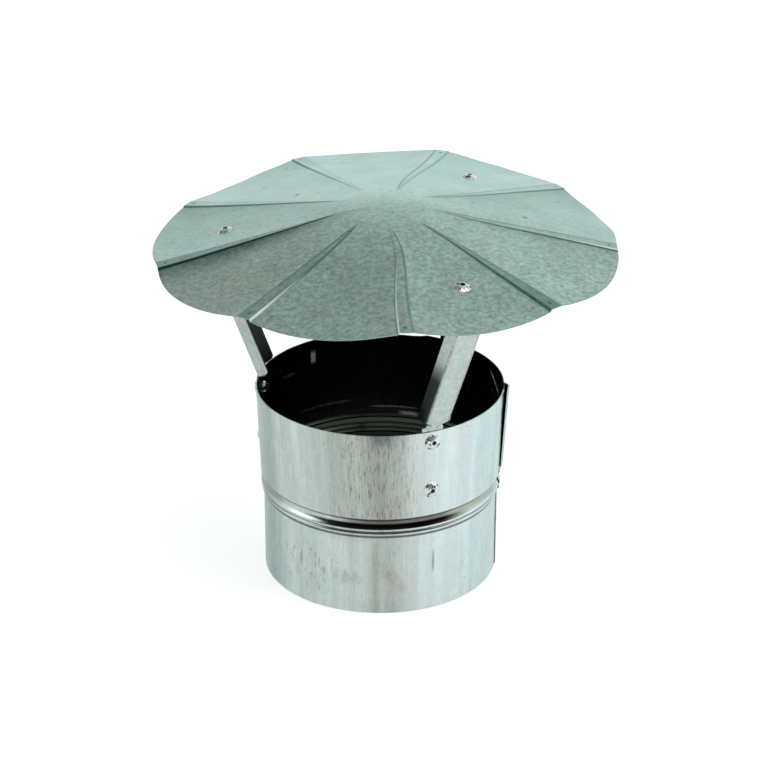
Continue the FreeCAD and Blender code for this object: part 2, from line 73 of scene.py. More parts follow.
class Graph:
    """A node tree with short calls for the nodes that the materials use."""

    def __init__(self, tree):
        self.tree = tree
        tree.nodes.clear()

    def add(self, kind, inputs=None, **settings):
        node = self.tree.nodes.new(kind)
        for name, value in settings.items():
            setattr(node, name, value)
        for name, value in (inputs or {}).items():
            self.put(node.inputs[name], value)
        return node

    def put(self, socket, value):
        if isinstance(value, bpy.types.NodeSocket):
            self.tree.links.new(value, socket)
        else:
            socket.default_value = value

    def math(self, operation, a, b=0.0, c=0.0):
        return self.add("ShaderNodeMath", {0: a, 1: b, 2: c}, operation=operation).outputs[0]

    def ramp(self, value, low, high, out_low=0.0, out_high=1.0, smooth=True):
        node = self.add("ShaderNodeMapRange", {
            "Value": value, "From Min": low, "From Max": high,
            "To Min": out_low, "To Max": out_high,
        }, interpolation_type="SMOOTHSTEP" if smooth else "LINEAR")
        return node.outputs[0]

    def mix(self, factor, a, b, blend="MIX"):
        node = self.add("ShaderNodeMix", data_type="RGBA", blend_type=blend)
        self.put(node.inputs[0], factor)
        self.put(node.inputs[6], a)
        self.put(node.inputs[7], b)
        return node.outputs[2]

    def noise(self, vector, scale, detail=2.0, roughness=0.5, distortion=0.0):
        node = self.add("ShaderNodeTexNoise", {
            "Vector": vector, "Scale": scale, "Detail": detail,
            "Roughness": roughness, "Distortion": distortion,
        })
        return node.outputs[0]

    def stretched(self, vector, scale, rotation=(0, 0, 0)):
        node = self.add("ShaderNodeMapping", {
            "Vector": vector, "Rotation": rotation, "Scale": scale,
        })
        return node.outputs[0]

    def bump(self, height, strength, distance, normal=None):
        node = self.add("ShaderNodeBump", {
            "Height": height, "Strength": strength, "Distance": distance,
        })
        if normal is not None:
            self.put(node.inputs["Normal"], normal)
        return node.outputs[0]

    def split(self, vector):
        axes = self.add("ShaderNodeSeparateXYZ", {0: vector})
        return axes.outputs[0], axes.outputs[1], axes.outputs[2]

    def outward(self):
        """How far a face looks away from the flue's axis, times its distance from it."""
        geometry = self.add("ShaderNodeNewGeometry")
        flat = self.add("ShaderNodeVectorMath", {0: geometry.outputs["Position"], 1: (1, 1, 0)},
                        operation="MULTIPLY")
        dot = self.add("ShaderNodeVectorMath",
                       {0: flat.outputs[0], 1: geometry.outputs["True Normal"]},
                       operation="DOT_PRODUCT")
        return dot.outputs["Value"]

    def facing_axis(self):
        """1 on faces that look towards the flue's axis, and 0 on the others."""
        return self.math("LESS_THAN", self.outward(), -0.02)

    def attribute(self, name):
        return self.add("ShaderNodeAttribute", attribute_name=name).outputs["Fac"]

    def near(self, value, centre, full, none):
        """1 within a distance of the centre, fading to 0 further out."""
        away = self.math("ABSOLUTE", self.math("SUBTRACT", value, centre))
        return self.ramp(away, full, none, 1.0, 0.0)

    def spot(self, place, point, full, none):
        """1 at a point in space, fading to 0 around it."""
        away = self.add("ShaderNodeVectorMath", {0: place, 1: point}, operation="DISTANCE")
        return self.ramp(away.outputs["Value"], full, none, 1.0, 0.0)

    def times(self, *values):
        total = values[0]
        for value in values[1:]:
            total = self.math("MULTIPLY", total, value)
        return total

    def cells(self, place, scale, full, none, chosen):
        """Small round spots in some of the cells of a grid without order."""
        node = self.add("ShaderNodeTexVoronoi", {"Vector": place, "Scale": scale})
        red = self.add("ShaderNodeSeparateColor", {0: node.outputs["Color"]}).outputs[0]
        return self.times(self.ramp(node.outputs["Distance"], full, none, 1.0, 0.0),
                          self.math("LESS_THAN", red, chosen))

    def seen(self, path):
        """1 for the rays that show a surface to the camera, and 0 for those that light it."""
        return self.math("MAXIMUM", path.outputs["Is Camera Ray"],
                         path.outputs["Is Transmission Ray"])


def rgb(red, green, blue):
    return (red, green, blue, 1.0)


def new_material(name):
    material = bpy.data.materials.new(name)
    material.use_nodes = True
    graph = Graph(material.node_tree)
    out = graph.add("ShaderNodeOutputMaterial")
    shader = graph.add("ShaderNodeBsdfPrincipled")
    shader.inputs["Metallic"].default_value = 1.0
    graph.tree.links.new(shader.outputs[0], out.inputs[0])
    place = graph.add("ShaderNodeTexCoord").outputs["Object"]
    return material, graph, shader, place


# How the hood sits on its legs

RIM_HEIGHT = 169.6
HOOD_TILT_SIDE = -1.1
HOOD_TILT_BACK = 1.6
HOOD_SHIFT = 2.5


def polar(radius, azimuth):
    angle = math.radians(azimuth)
    return Vector((radius * math.cos(angle), radius * math.sin(angle), 0))


def settled():
    """The hood's move from its own level plan: tilted about the middle of its edge, and shifted."""
    centre = Vector((0, 0, RIM_HEIGHT))
    tilt = (Matrix.Rotation(math.radians(HOOD_TILT_SIDE), 4, "Y")
            @ Matrix.Rotation(math.radians(HOOD_TILT_BACK), 4, "X"))
    shift = Matrix.Translation(centre + Vector((HOOD_SHIFT, 0, 0)))
    return shift @ tilt @ Matrix.Translation(-centre)


# Spots of rust and small dark dots on the hood, in its level plan, with their radii
RUST = (((-42.3, 34.2, 178.3), 2.1), ((65.8, 8.3, 175.2), 2.0))
DOTS = (((-0.9, -1.3, 186.0), 0.9), ((2.2, -1.2, 186.0), 0.8), ((-32.1, 31.4, 180.3), 1.2))

# Above this value of outward(), a face belongs to the hood's cut edge
HOOD_EDGE_OUTWARD = 0.07


def on_hood(spots):
    move = settled()
    return [(move @ Vector(spot) * MILLIMETRE, size * MILLIMETRE) for spot, size in spots]


def hood_material():
    material, g, shader, place = new_material("hood_zinc")
    y = g.split(place)[1]
    mottle = g.noise(place, 430, 4, 0.66)
    patches = g.noise(place, 60, 3, 0.55)
    hue = g.noise(place, 130, 2, 0.5)
    grain = g.noise(place, 1100, 2, 0.6)

    # Grey-green zinc, painted paler and bluer to the back as a reflection of the backdrop
    colour = g.mix(g.ramp(hue, 0.38, 0.64), rgb(0.452, 0.665, 0.595), rgb(0.49, 0.66, 0.595))
    colour = g.mix(g.ramp(y, -0.01, 0.09, 0.0, 0.6), colour, rgb(0.485, 0.72, 0.67))
    # Warm patches: a brownish cast with painted shade
    warm = g.times(g.attribute("warm"), g.ramp(patches, 0.3, 0.7, 0.6, 1.0))
    colour = g.mix(warm, colour, rgb(0.435, 0.53, 0.46))
    colour = g.mix(g.ramp(y, -0.05, 0.05, 1.0, 0.4), colour,
                   g.ramp(mottle, 0.32, 0.68, 0.70, 1.18), "MULTIPLY")
    # Each panel painted lighter or darker, as the light and shade on its facet
    colour = g.mix(1.0, colour, g.attribute("painted_panel_light"), "MULTIPLY")
    colour = g.mix(1.0, colour, g.ramp(patches, 0.3, 0.7, 0.93, 1.05), "MULTIPLY")
    specks = g.cells(place, 210, 0.10, 0.24, 0.16)
    colour = g.mix(g.times(specks, 0.55), colour, rgb(0.13, 0.19, 0.17))
    pale = g.cells(place, 160, 0.08, 0.2, 0.08)
    colour = g.mix(g.times(pale, 0.4), colour, rgb(0.78, 0.88, 0.84))

    # A broad painted shade where a panel turns down beside its pleat, and painted shade on the
    # pressed strips
    shade = g.times(g.attribute("shade"), g.ramp(mottle, 0.3, 0.6, 1.0, 0.78))
    colour = g.mix(shade, colour, rgb(0.06, 0.13, 0.105))
    colour = g.mix(g.attribute("strip"), colour, rgb(0.10, 0.24, 0.22))

    # Painted shade with some grime in the creases, and painted highlights on the edges, along both
    # sides of each pleat
    uneven = g.ramp(mottle, 0.35, 0.6, 0.75, 1.0)
    for side, highlight_at in (("a", 0.35), ("b", 0.1)):
        away = g.attribute("from_" + side)
        dark = g.times(g.near(away, 0.0, 0.22, 0.85), g.attribute("dark_" + side), uneven)
        colour = g.mix(dark, colour, rgb(0.035, 0.10, 0.09))
        bright = g.times(g.near(away, highlight_at, 0.22, 0.5), g.attribute("bright_" + side))
        colour = g.mix(bright, colour, rgb(0.97, 1.0, 0.99))

    # Press marks that pin the pleats, rust and dots
    pins = g.times(g.near(g.attribute("pin"), 0.0, 0.7, 1.6), 0.85)
    colour = g.mix(pins, colour, rgb(0.06, 0.14, 0.12))
    for spot, size in on_hood(RUST):
        rust = g.spot(place, spot, 0.3 * size, size)
        colour = g.mix(g.times(rust, 0.65), colour, rgb(0.36, 0.25, 0.12))
        colour = g.mix(g.spot(place, spot, 0.15 * size, 0.5 * size), colour, rgb(0.05, 0.05, 0.03))
    for spot, size in on_hood(DOTS):
        dot = g.times(g.spot(place, spot, 0.3 * size, size), 0.6)
        colour = g.mix(dot, colour, rgb(0.12, 0.17, 0.14))

    cut_edge = g.math("GREATER_THAN", g.outward(), HOOD_EDGE_OUTWARD)
    g.put(shader.inputs["Base Color"], g.mix(cut_edge, colour, rgb(0.34, 0.45, 0.43)))
    g.put(shader.inputs["Roughness"], g.ramp(mottle, 0.3, 0.7, 0.33, 0.44))
    dents = g.bump(mottle, 0.25, 0.0003)
    g.put(shader.inputs["Normal"], g.bump(grain, 0.12, 0.0002, dents))
    return material


class Wall:
    """Where a point lies on the collar's wall, with the noises that several marks share."""

    def __init__(self, g, place):
        self.place = place
        self.x, self.y, self.z = g.split(place)
        self.azimuth = g.math("MULTIPLY", g.math("ARCTAN2", self.y, self.x), math.degrees(1))
        self.turned = g.math("FLOORED_MODULO", self.azimuth, 360.0)
        self.streaks = g.noise(g.stretched(place, (1, 1, 0.12)), 1350, 3, 0.72)
        self.cloud = g.noise(place, 55, 4, 0.6)
        self.mottle = g.noise(g.stretched(place, (1, 1, 0.45)), 330, 4, 0.65)
        self.above_beads = g.ramp(self.z, 0.048, 0.053, 0.35, 1.0)
        self.below_beads = g.ramp(self.z, 0.036, 0.040, 1.0, 0.0)


def paint_over(g, colour, layers):
    """Lays each mask's paint over a colour, as (mask, how much, paint)."""
    for mask, much, paint in layers:
        colour = g.mix(g.times(mask, much), colour, paint)
    return colour


def bare_wall(g, wall):
    brushed = g.noise(g.stretched(wall.place, (1, 1, 0.02)), 1800, 2, 0.6)
    colour = g.mix(g.ramp(wall.cloud, 0.35, 0.65), rgb(0.665, 0.775, 0.75), rgb(0.71, 0.79, 0.765))
    colour = g.mix(1.0, colour, g.ramp(wall.mottle, 0.3, 0.7, 0.92, 1.05), "MULTIPLY")
    return g.mix(1.0, colour, g.ramp(brushed, 0.3, 0.7, 0.96, 1.03), "MULTIPLY")


def wall_dirt(g, wall, colour):
    """The front is dull and streaked with dirt, more so above the beads."""
    front = g.near(wall.azimuth, -93.0, 9.0, 30.0)
    dull = g.times(front, wall.above_beads, g.ramp(wall.cloud, 0.3, 0.65, 0.65, 1.0))
    dirt = g.times(g.ramp(wall.streaks, 0.48, 0.64), g.ramp(wall.mottle, 0.36, 0.56), dull)
    worn = g.times(g.ramp(wall.streaks, 0.47, 0.36), dull)
    return paint_over(g, colour, (
        (dull, 0.6, rgb(0.47, 0.49, 0.41)),
        (dirt, 0.8, rgb(0.16, 0.175, 0.14)),
        (worn, 0.45, rgb(0.72, 0.73, 0.62)),
    ))


def painted_wall_reflections(g, wall, colour):
    """Painted reflections: broad upright bands, pale left and right of the front, darker at its
    middle and far left, bluish to the right.
    """
    bands = g.noise(g.stretched(wall.place, (1, 1, 0.05)), 170, 3, 0.6)
    light = 1.0
    for band, much in (
        (g.near(wall.azimuth, -133.0, 5.0, 17.0), 0.13),
        (g.near(wall.turned, 200.0, 5.0, 18.0), -0.12),
        (g.times(g.near(wall.azimuth, -87.5, 5.0, 13.0), wall.above_beads), -0.22),
        (g.near(wall.azimuth, -52.0, 14.0, 34.0), 0.14),
        (g.times(g.near(wall.azimuth, -108.0, 8.0, 17.0), wall.below_beads), 0.12),
    ):
        light = g.math("MULTIPLY_ADD", band, much, light)
    light = g.times(light, g.ramp(bands, 0.32, 0.68, 0.90, 1.09))
    colour = g.mix(1.0, colour, light, "MULTIPLY")
    sides = g.math("ADD", g.near(wall.turned, 196.0, 8.0, 26.0),
                   g.near(wall.azimuth, -22.0, 12.0, 28.0))
    colour = g.mix(sides, colour, g.mix(1.0, colour, rgb(0.91, 1.0, 1.0), "MULTIPLY"))
    blue = g.times(g.near(wall.azimuth, -48.0, 16.0, 36.0), 0.35)
    return g.mix(blue, colour, rgb(0.72, 0.82, 0.87))


def wall_marks(g, wall, colour):
    """The stain under the rim, and a brown run, a smear, scratches and specks on the spigot."""
    azimuth, z, mottle = wall.azimuth, wall.z, wall.mottle
    stain = g.times(g.near(azimuth, -89.5, 2.0, 8.0), g.ramp(z, 0.0865, 0.0945),
                    g.ramp(mottle, 0.3, 0.55, 0.6, 1.0))
    run = g.times(g.near(azimuth, -92.6, 0.6, 2.6), wall.below_beads,
                  g.ramp(mottle, 0.3, 0.6, 0.4, 1.0))
    slant = g.math("MULTIPLY_ADD", z, 900.0, azimuth)
    smear = g.times(g.near(slant, -67.5, 1.5, 6.5), g.near(azimuth, -85.0, 4.0, 9.0),
                    g.near(z, 0.019, 0.006, 0.013), g.ramp(mottle, 0.35, 0.6, 0.3, 1.0))
    scores = g.stretched(wall.place, (1, 0.5, 0.18), rotation=(0, 0.6, 0))
    scratches = g.times(g.near(azimuth, -127.0, 9.0, 19.0), g.near(z, 0.021, 0.009, 0.018),
                        g.ramp(g.noise(scores, 620, 3, 0.7, 0.4), 0.55, 0.66))
    smudge = g.times(g.near(azimuth, -106.0, 4.0, 10.0), g.near(z, 0.0185, 0.002, 0.005),
                     g.ramp(mottle, 0.42, 0.6))
    scratch = g.times(g.near(azimuth, -63.9, 0.2, 0.9), g.near(z, 0.0255, 0.002, 0.008),
                      g.ramp(mottle, 0.35, 0.55, 0.4, 1.0))
    flecks = g.cells(wall.place, 150, 0.05, 0.13, 0.10)
    return paint_over(g, colour, (
        (stain, 0.75, rgb(0.09, 0.13, 0.115)),
        (run, 0.42, rgb(0.38, 0.34, 0.26)),
        (smear, 0.45, rgb(0.42, 0.34, 0.29)),
        (scratches, 0.6, rgb(0.28, 0.29, 0.25)),
        (smudge, 0.3, rgb(0.25, 0.30, 0.27)),
        (scratch, 0.6, rgb(0.14, 0.18, 0.16)),
        (flecks, 0.45, rgb(0.20, 0.22, 0.19)),
    ))


def bead_grime_and_painted_shade(g, wall, colour):
    """Grime and painted shade in the creases of the beads, and painted dark reflections in the
    rolled channel, near black at the front and olive at its ends.
    """
    azimuth, z = wall.azimuth, wall.z
    grime_and_shade = rgb(0.05, 0.065, 0.05)
    channel = g.times(g.ramp(z, 0.0457, 0.0463), g.ramp(z, 0.0503, 0.0509, 1.0, 0.0))
    trough = g.times(g.ramp(z, 0.0456, 0.0461), g.ramp(z, 0.0476, 0.0486, 1.0, 0.0))
    ends = g.math("ADD", g.near(azimuth, -34.0, 12.0, 26.0), g.near(wall.turned, 196.0, 14.0, 30.0))
    return paint_over(g, colour, (
        (g.near(z, 0.0411, 0.0003, 0.0011), 0.85, grime_and_shade),
        (g.near(z, 0.0438, 0.0002, 0.0008), 0.7, grime_and_shade),
        (g.near(z, 0.0508, 0.0002, 0.0007), 0.8, grime_and_shade),
        (g.times(channel, g.near(azimuth, -79.0, 16.0, 38.0)), 0.82, rgb(0.085, 0.065, 0.055)),
        (g.times(trough, g.near(azimuth, -84.0, 24.0, 46.0)), 0.9, rgb(0.012, 0.014, 0.018)),
        (g.times(channel, ends), 0.75, rgb(0.36, 0.40, 0.33)),
    ))


def seam_shadows(g, wall, colour):
    """The seam's painted shadow line on the spigot, and the painted shade in the gap between its
    fold and the wall.
    """
    line = g.times(g.near(wall.azimuth, -8.4, 0.35, 0.6), g.ramp(wall.z, 0.0505, 0.0515, 1.0, 0.0))
    squared = g.math("ADD", g.times(wall.x, wall.x), g.times(wall.y, wall.y))
    # The wall's radius at a height above the beads, with 0.3 mm to spare
    face = g.math("ADD", g.math("MULTIPLY_ADD", wall.z, 0.0382, 0.0568), 0.0003)
    gap = g.times(g.math("LESS_THAN", g.math("SQRT", squared), face),
                  g.near(wall.azimuth, -4.8, 3.72, 3.8), g.ramp(wall.z, 0.0535, 0.0545))
    return paint_over(g, colour, (
        (line, 0.85, rgb(0.04, 0.06, 0.055)),
        (gap, 1.0, rgb(0.02, 0.025, 0.022)),
    ))


# Painted glints on the inside wall, pale: azimuth, half width in degrees, height, half height, how
# much
GLINTS = (
    (124.6, 1.9, 0.0862, 0.0045, 0.95),
    (141.0, 6.0, 0.0812, 0.0010, 0.25),
    (75.5, 6.0, 0.0516, 0.0011, 0.9),
    (83.0, 14.0, 0.0546, 0.0006, 0.5),
    (119.0, 18.0, 0.0586, 0.0009, 0.2),
)


def painted_inside_shade(g, wall):
    """The inside's colour, painted dark as shade but for its painted glints, and where the glints
    are.
    """
    # Painted shade inside, a little lighter along the beads
    colour = g.mix(g.near(wall.z, 0.0455, 0.004, 0.0055), rgb(0.03, 0.034, 0.032),
                   rgb(0.10, 0.105, 0.085))
    # The glint at the right leans, and the others are upright or level
    leaning = g.math("MULTIPLY_ADD", wall.z, -1552.0, wall.azimuth)
    glints = g.times(g.near(leaning, -115.8, 0.6, 1.5),
                     g.near(wall.z, 0.0864, 0.0022, 0.0050), 0.95)
    colour = g.mix(glints, colour, rgb(0.95, 0.95, 0.78))
    for azimuth, across, height, tall, much in GLINTS:
        glint = g.times(g.near(wall.azimuth, azimuth, 0.4 * across, across),
                        g.near(wall.z, height, 0.3 * tall, tall), much)
        colour = g.mix(glint, colour, rgb(0.95, 0.95, 0.72))
        glints = g.math("MAXIMUM", glints, glint)
    return colour, glints


def collar_material():
    material, g, shader, place = new_material("collar_zinc")
    wall = Wall(g, place)
    colour = bare_wall(g, wall)
    for layer in (wall_dirt, painted_wall_reflections, wall_marks, bead_grime_and_painted_shade, seam_shadows):
        colour = layer(g, wall, colour)
    inside, glints = painted_inside_shade(g, wall)
    is_inside = g.facing_axis()
    g.put(shader.inputs["Base Color"], g.mix(is_inside, colour, inside))
    # The painted glints are matte, not metal
    g.put(shader.inputs["Metallic"], g.math("SUBTRACT", 1.0, g.times(glints, is_inside)))

    # The beads are smoother than the plain wall
    beads = g.times(g.ramp(wall.z, 0.0395, 0.0405), g.ramp(wall.z, 0.0508, 0.0518, 1.0, 0.0))
    plain = g.math("SUBTRACT", 1.0, beads)
    rough = g.ramp(wall.mottle, 0.3, 0.7, 0.22, 0.33)
    g.put(shader.inputs["Roughness"], g.times(rough, g.math("MULTIPLY_ADD", plain, 0.4, 0.6)))
    g.put(shader.inputs["Normal"], g.bump(wall.mottle, g.times(plain, 0.08), 0.0003))
    return material


def leg_material():
    material, g, shader, place = new_material("leg_zinc")
    streaks = g.noise(place, 420, 4, 0.62)
    cloud = g.noise(place, 90, 3, 0.6)
    crease = g.near(g.attribute("crease"), 0.0, 0.2, 0.9)
    colour = g.mix(g.ramp(streaks, 0.35, 0.65), rgb(0.54, 0.635, 0.605), rgb(0.66, 0.755, 0.755))
    # Painted shade along the bends, brownish with streaks; darker cloudy patches; a painted dark
    # reflection on one flange; painted shade on the faces towards the flue's axis
    colour = paint_over(g, colour, (
        (g.times(crease, g.ramp(streaks, 0.38, 0.6)), 0.7, rgb(0.30, 0.25, 0.20)),
        (g.ramp(cloud, 0.5, 0.7), 0.35, rgb(0.47, 0.48, 0.43)),
        (g.attribute("painted_flange_reflection"), 1.0, rgb(0.035, 0.045, 0.04)),
        (g.facing_axis(), 1.0, rgb(0.05, 0.055, 0.05)),
    ))
    g.put(shader.inputs["Base Color"], colour)
    g.put(shader.inputs["Roughness"], g.ramp(streaks, 0.3, 0.7, 0.26, 0.38))
    g.put(shader.inputs["Normal"], g.bump(streaks, 0.10, 0.0003))
    return material


def rivet_material():
    material, g, shader, place = new_material("rivet_aluminium")
    scuffs = g.noise(place, 800, 3, 0.6)
    dents = g.noise(place, 420, 2, 0.5)
    colour = g.mix(scuffs, rgb(0.70, 0.76, 0.76), rgb(0.93, 0.96, 0.97))
    # Dark patches on the heads: painted dark reflections
    dark = g.times(g.ramp(dents, 0.565, 0.60), 0.92)
    g.put(shader.inputs["Base Color"], g.mix(dark, colour, rgb(0.03, 0.035, 0.035)))
    g.put(shader.inputs["Roughness"], g.ramp(scuffs, 0.3, 0.7, 0.12, 0.24))
    g.put(shader.inputs["Normal"], g.bump(dents, 1.0, 0.0008))
    return material


def stem_material():
    material, g, shader, place = new_material("stem_steel")
    scuffs = g.noise(place, 900, 3, 0.6)
    colour = g.mix(scuffs, rgb(0.02, 0.02, 0.022), rgb(0.08, 0.08, 0.085))
    g.put(shader.inputs["Base Color"], colour)
    shader.inputs["Roughness"].default_value = 0.45
    return material


finishes = {
    "hood": hood_material(),
    "collar": collar_material(),
    "leg": leg_material(),
    "rivet": rivet_material(),
    "stem": stem_material(),
}


def finish_for(name):
    if name in ("hood", "collar"):
        return finishes[name]
    if name.startswith("leg"):
        return finishes["leg"]
    return finishes["stem" if "stem" in name else "rivet"]


for name, node in nodes.items():
    node.data.materials.clear()
    node.data.materials.append(finish_for(name))


# Meshes

def add_mesh(name, verts, faces, material, sharp=40, layers=None):
    mesh = bpy.data.meshes.new(name)
    mesh.from_pydata([vert * MILLIMETRE for vert in verts], [], faces)
    for layer, values in (layers or {}).items():
        mesh.attributes.new(layer, "FLOAT", "POINT").data.foreach_set("value", values)
    work = bmesh.new()
    work.from_mesh(mesh)
    bmesh.ops.remove_doubles(work, verts=work.verts, dist=1e-6)
    work.to_mesh(mesh)
    work.free()
    mesh.polygons.foreach_set("use_smooth", [True] * len(mesh.polygons))
    mesh.set_sharp_from_angle(angle=math.radians(sharp))
    piece = bpy.data.objects.new(name, mesh)
    scene.collection.objects.link(piece)
    mesh.materials.append(material)
    return piece


def face_out(piece, way):
    """Turns a sheet over where its first face looks the other way."""
    if piece.data.polygons[0].normal.dot(way) < 0:
        piece.data.flip_normals()


def thicken(piece, thickness):
    """Gives an open sheet its thickness, behind the modelled face."""
    shell = piece.modifiers.new("thickness", "SOLIDIFY")
    shell.thickness = thickness * MILLIMETRE
    shell.offset = -1
    shell.use_even_offset = False
    depsgraph = bpy.context.evaluated_depsgraph_get()
    solid = bpy.data.meshes.new_from_object(piece.evaluated_get(depsgraph), depsgraph=depsgraph)
    piece.modifiers.clear()
    piece.data = solid
    solid.name = piece.name
    solid.set_sharp_from_angle(angle=math.radians(45))


def grid_faces(rows, wide, first=0, closed=False):
    """Four-sided faces between rows of vertices, which close round where they are rings."""
    faces = []
    for row in range(rows - 1):
        low = first + row * wide
        high = low + wide
        for at in range(wide if closed else wide - 1):
            after = (at + 1) % wide
            faces.append((low + at, low + after, high + after, high + at))
    return faces


# Hood: its own fine mesh, made in its own level plan and then set on its legs

SHEET = 0.5
HOOD_RADIUS = 110.2
PLEAT_RADIUS = 108.5
PLEAT_SLOPE = math.radians(10.1)
CROWN_RADIUS = 21.8
CROWN_RISE = 1.7
CROWN_EDGE = RIM_HEIGHT + (PLEAT_RADIUS - CROWN_RADIUS) * math.tan(PLEAT_SLOPE)
CROWN_RINGS = 8
HOOD_ROWS = 46
PLEATS = 9
PITCH = 360 / PLEATS
FIRST_PLEAT = 114.5
PLEAT_HALF = 3.35
PIN_RADIUS = 104.3
PANEL_SAG = 2.4
PANEL_STEPS = 34
EDGE_WARP = 1.8
EDGE_WARP_AZIMUTH = 90

# For each pleat: its steep side, the height of that side, how far the pleat is turned from its
# even place, how its width tapers to the crown, how far its line bows sideways near the crown, and
# how much more steeply than a plain arc the panel after it falls away beside it
SHARP = (1, 1, 1, 1, -1, -1, -1, -1, -1)
STEP = (0.5, 0.6, 1.0, 1.0, 1.0, 1.0, 0.9, 0.5, 0.5)
TURN = (-0.4, -0.7, -1.6, 0.4, 0.0, -1.1, -0.6, 0.2, 0.0)
TAPER = (0.8, 1.0, 0.9, 0.6, 0.5, 0.95, 0.6, 0.7, 0.7)
BOW = (0.0, 0.0, 0.0, 0.6, 2.6, 0.8, -0.8, -1.2, 1.6)
SKEW = (0.0, 0.05, 0.34, 0.05, -0.05, -0.12, -0.12, 0.0, 0.0)

# For each pleat, at the crown and at the edge: how dark the painted shade in its creases is on the
# side of the lower and of the higher azimuth, how bright the painted highlights on those edges are,
# and how dark the painted shade on the strip between them is
DARK_A = ((0.1, 0.3), (0.1, 0.2), (0.1, 0.45), (0.6, 0.5), (0.2, 0.2),
          (0.6, 1.0), (0.35, 0.45), (0.5, 0.55), (0.3, 0.45))
DARK_B = ((0.15, 0.85), (0.5, 0.7), (0.9, 1.0), (0.8, 0.6), (0.6, 0.45),
          (0.3, 0.5), (0.6, 0.6), (0.5, 0.6), (0.6, 0.55))
BRIGHT_A = {4: (-0.4, 1.0), 6: (-1.6, 1.2)}
BRIGHT_B = {3: (-1.2, 1.2)}
STRIP_SHADE = ((0, 0), (0, 0.05), (0.1, 0.35), (0.25, 0.45), (0.05, 0.2),
         (0.0, 0.7), (0.05, 0.1), (0, 0), (0, 0))

# How light the panel after each pleat is, and the crown, as painted light and shade
PANEL_PAINTED_LIGHT = (1.07, 1.04, 0.88, 0.85, 0.97, 1.0, 1.0, 1.04, 1.04)
CROWN_PAINTED_LIGHT = 1.06

# Pleats with a patch of painted shade and a warm patch after them, and with a warm patch before
# them; the warm patches are a brownish cast with painted shade
SHADED_AFTER = 2
WARM_SHADE_BEFORE = 3

# How far the hood's edge is drawn in or out of its even round, and bent up or down, by azimuth
EDGE_TRIM = (
    (-180, -0.3), (-172, 0), (-110, 0), (-89, -0.15), (-62, 0), (-45, 0.9), (-28, 1.4), (-12, 0.7),
    (2, -1.2), (16, -4.4), (27, -5.0), (36, -3.7), (50, -4.0), (60, -2.7), (74, 0), (112, 0),
    (122, -2.4), (133, -4.2), (142, -3.9), (154, -0.8), (168, -0.7), (180, -0.3),
)
EDGE_LIFT = (
    (-180, 0.7), (-140, 0.7), (-115, 1.25), (-92, 1.2), (-84, 0.4), (-62, 0.2), (-38, -0.6),
    (-12, 0.1), (20, 0.8), (60, 1.2), (90, 1.3), (140, 1.0), (180, 0.7),
)

# A pleat's section at the edge, from its plain side to its steep side: across and up
PLEAT_SECTION = (
    (-PLEAT_HALF - 0.9, -0.10), (-PLEAT_HALF - 0.3, -0.06), (-PLEAT_HALF, 0.06),
    (-PLEAT_HALF + 0.4, 0.10), (-PLEAT_HALF + 1.0, 0.04), (-PLEAT_HALF / 2, 0.03), (0, 0.02),
    (PLEAT_HALF / 2, 0.03), (PLEAT_HALF - 0.8, 0.06), (PLEAT_HALF - 0.3, 0.08),
    (PLEAT_HALF - 0.08, 0.02), (PLEAT_HALF + 0.02, -0.15), (PLEAT_HALF + 0.08, -0.5),
    (PLEAT_HALF + 0.16, -0.86), (PLEAT_HALF + 0.4, -1.0), (PLEAT_HALF + 1.0, -1.02),
)
# Lower than this in the section is the steep side, whose height differs from pleat to pleat
STEEP_FROM = -0.11


def at_azimuth(table, azimuth):
    """A table's value at an azimuth from -180 to 180, eased between its entries."""
    for (low, before), (high, after) in zip(table, table[1:]):
        if low <= azimuth <= high:
            share = (azimuth - low) / (high - low)
            return before + (after - before) * share * share * (3 - 2 * share)
    return 0.0


def azimuth_of(point):
    return math.degrees(math.atan2(point.y, point.x))


def edge_height(azimuth):
    warp = math.cos(math.radians(2 * (azimuth - EDGE_WARP_AZIMUTH)))
    return RIM_HEIGHT + EDGE_WARP * warp


def pleat_columns(index):
    """A pleat's lines from crown to edge, by rising azimuth.

    Each is its inner point, its outer point, its bow, its place across the pleat and its taper.
    """
    azimuth = FIRST_PLEAT + index * PITCH + TURN[index]
    side = SHARP[index]
    tip = polar(CROWN_RADIUS, azimuth) + Vector((0, 0, CROWN_EDGE))
    turn = Matrix.Rotation(math.radians(azimuth), 3, "Z")
    columns = []
    for across, rise in PLEAT_SECTION:
        height = edge_height(azimuth) + rise * (STEP[index] if rise < STEEP_FROM else 1.0)
        outer = turn @ Vector((PLEAT_RADIUS, side * across, 0)) + Vector((0, 0, height))
        columns.append((tip, outer, BOW[index], side * across, TAPER[index]))
    return columns if side > 0 else columns[::-1]


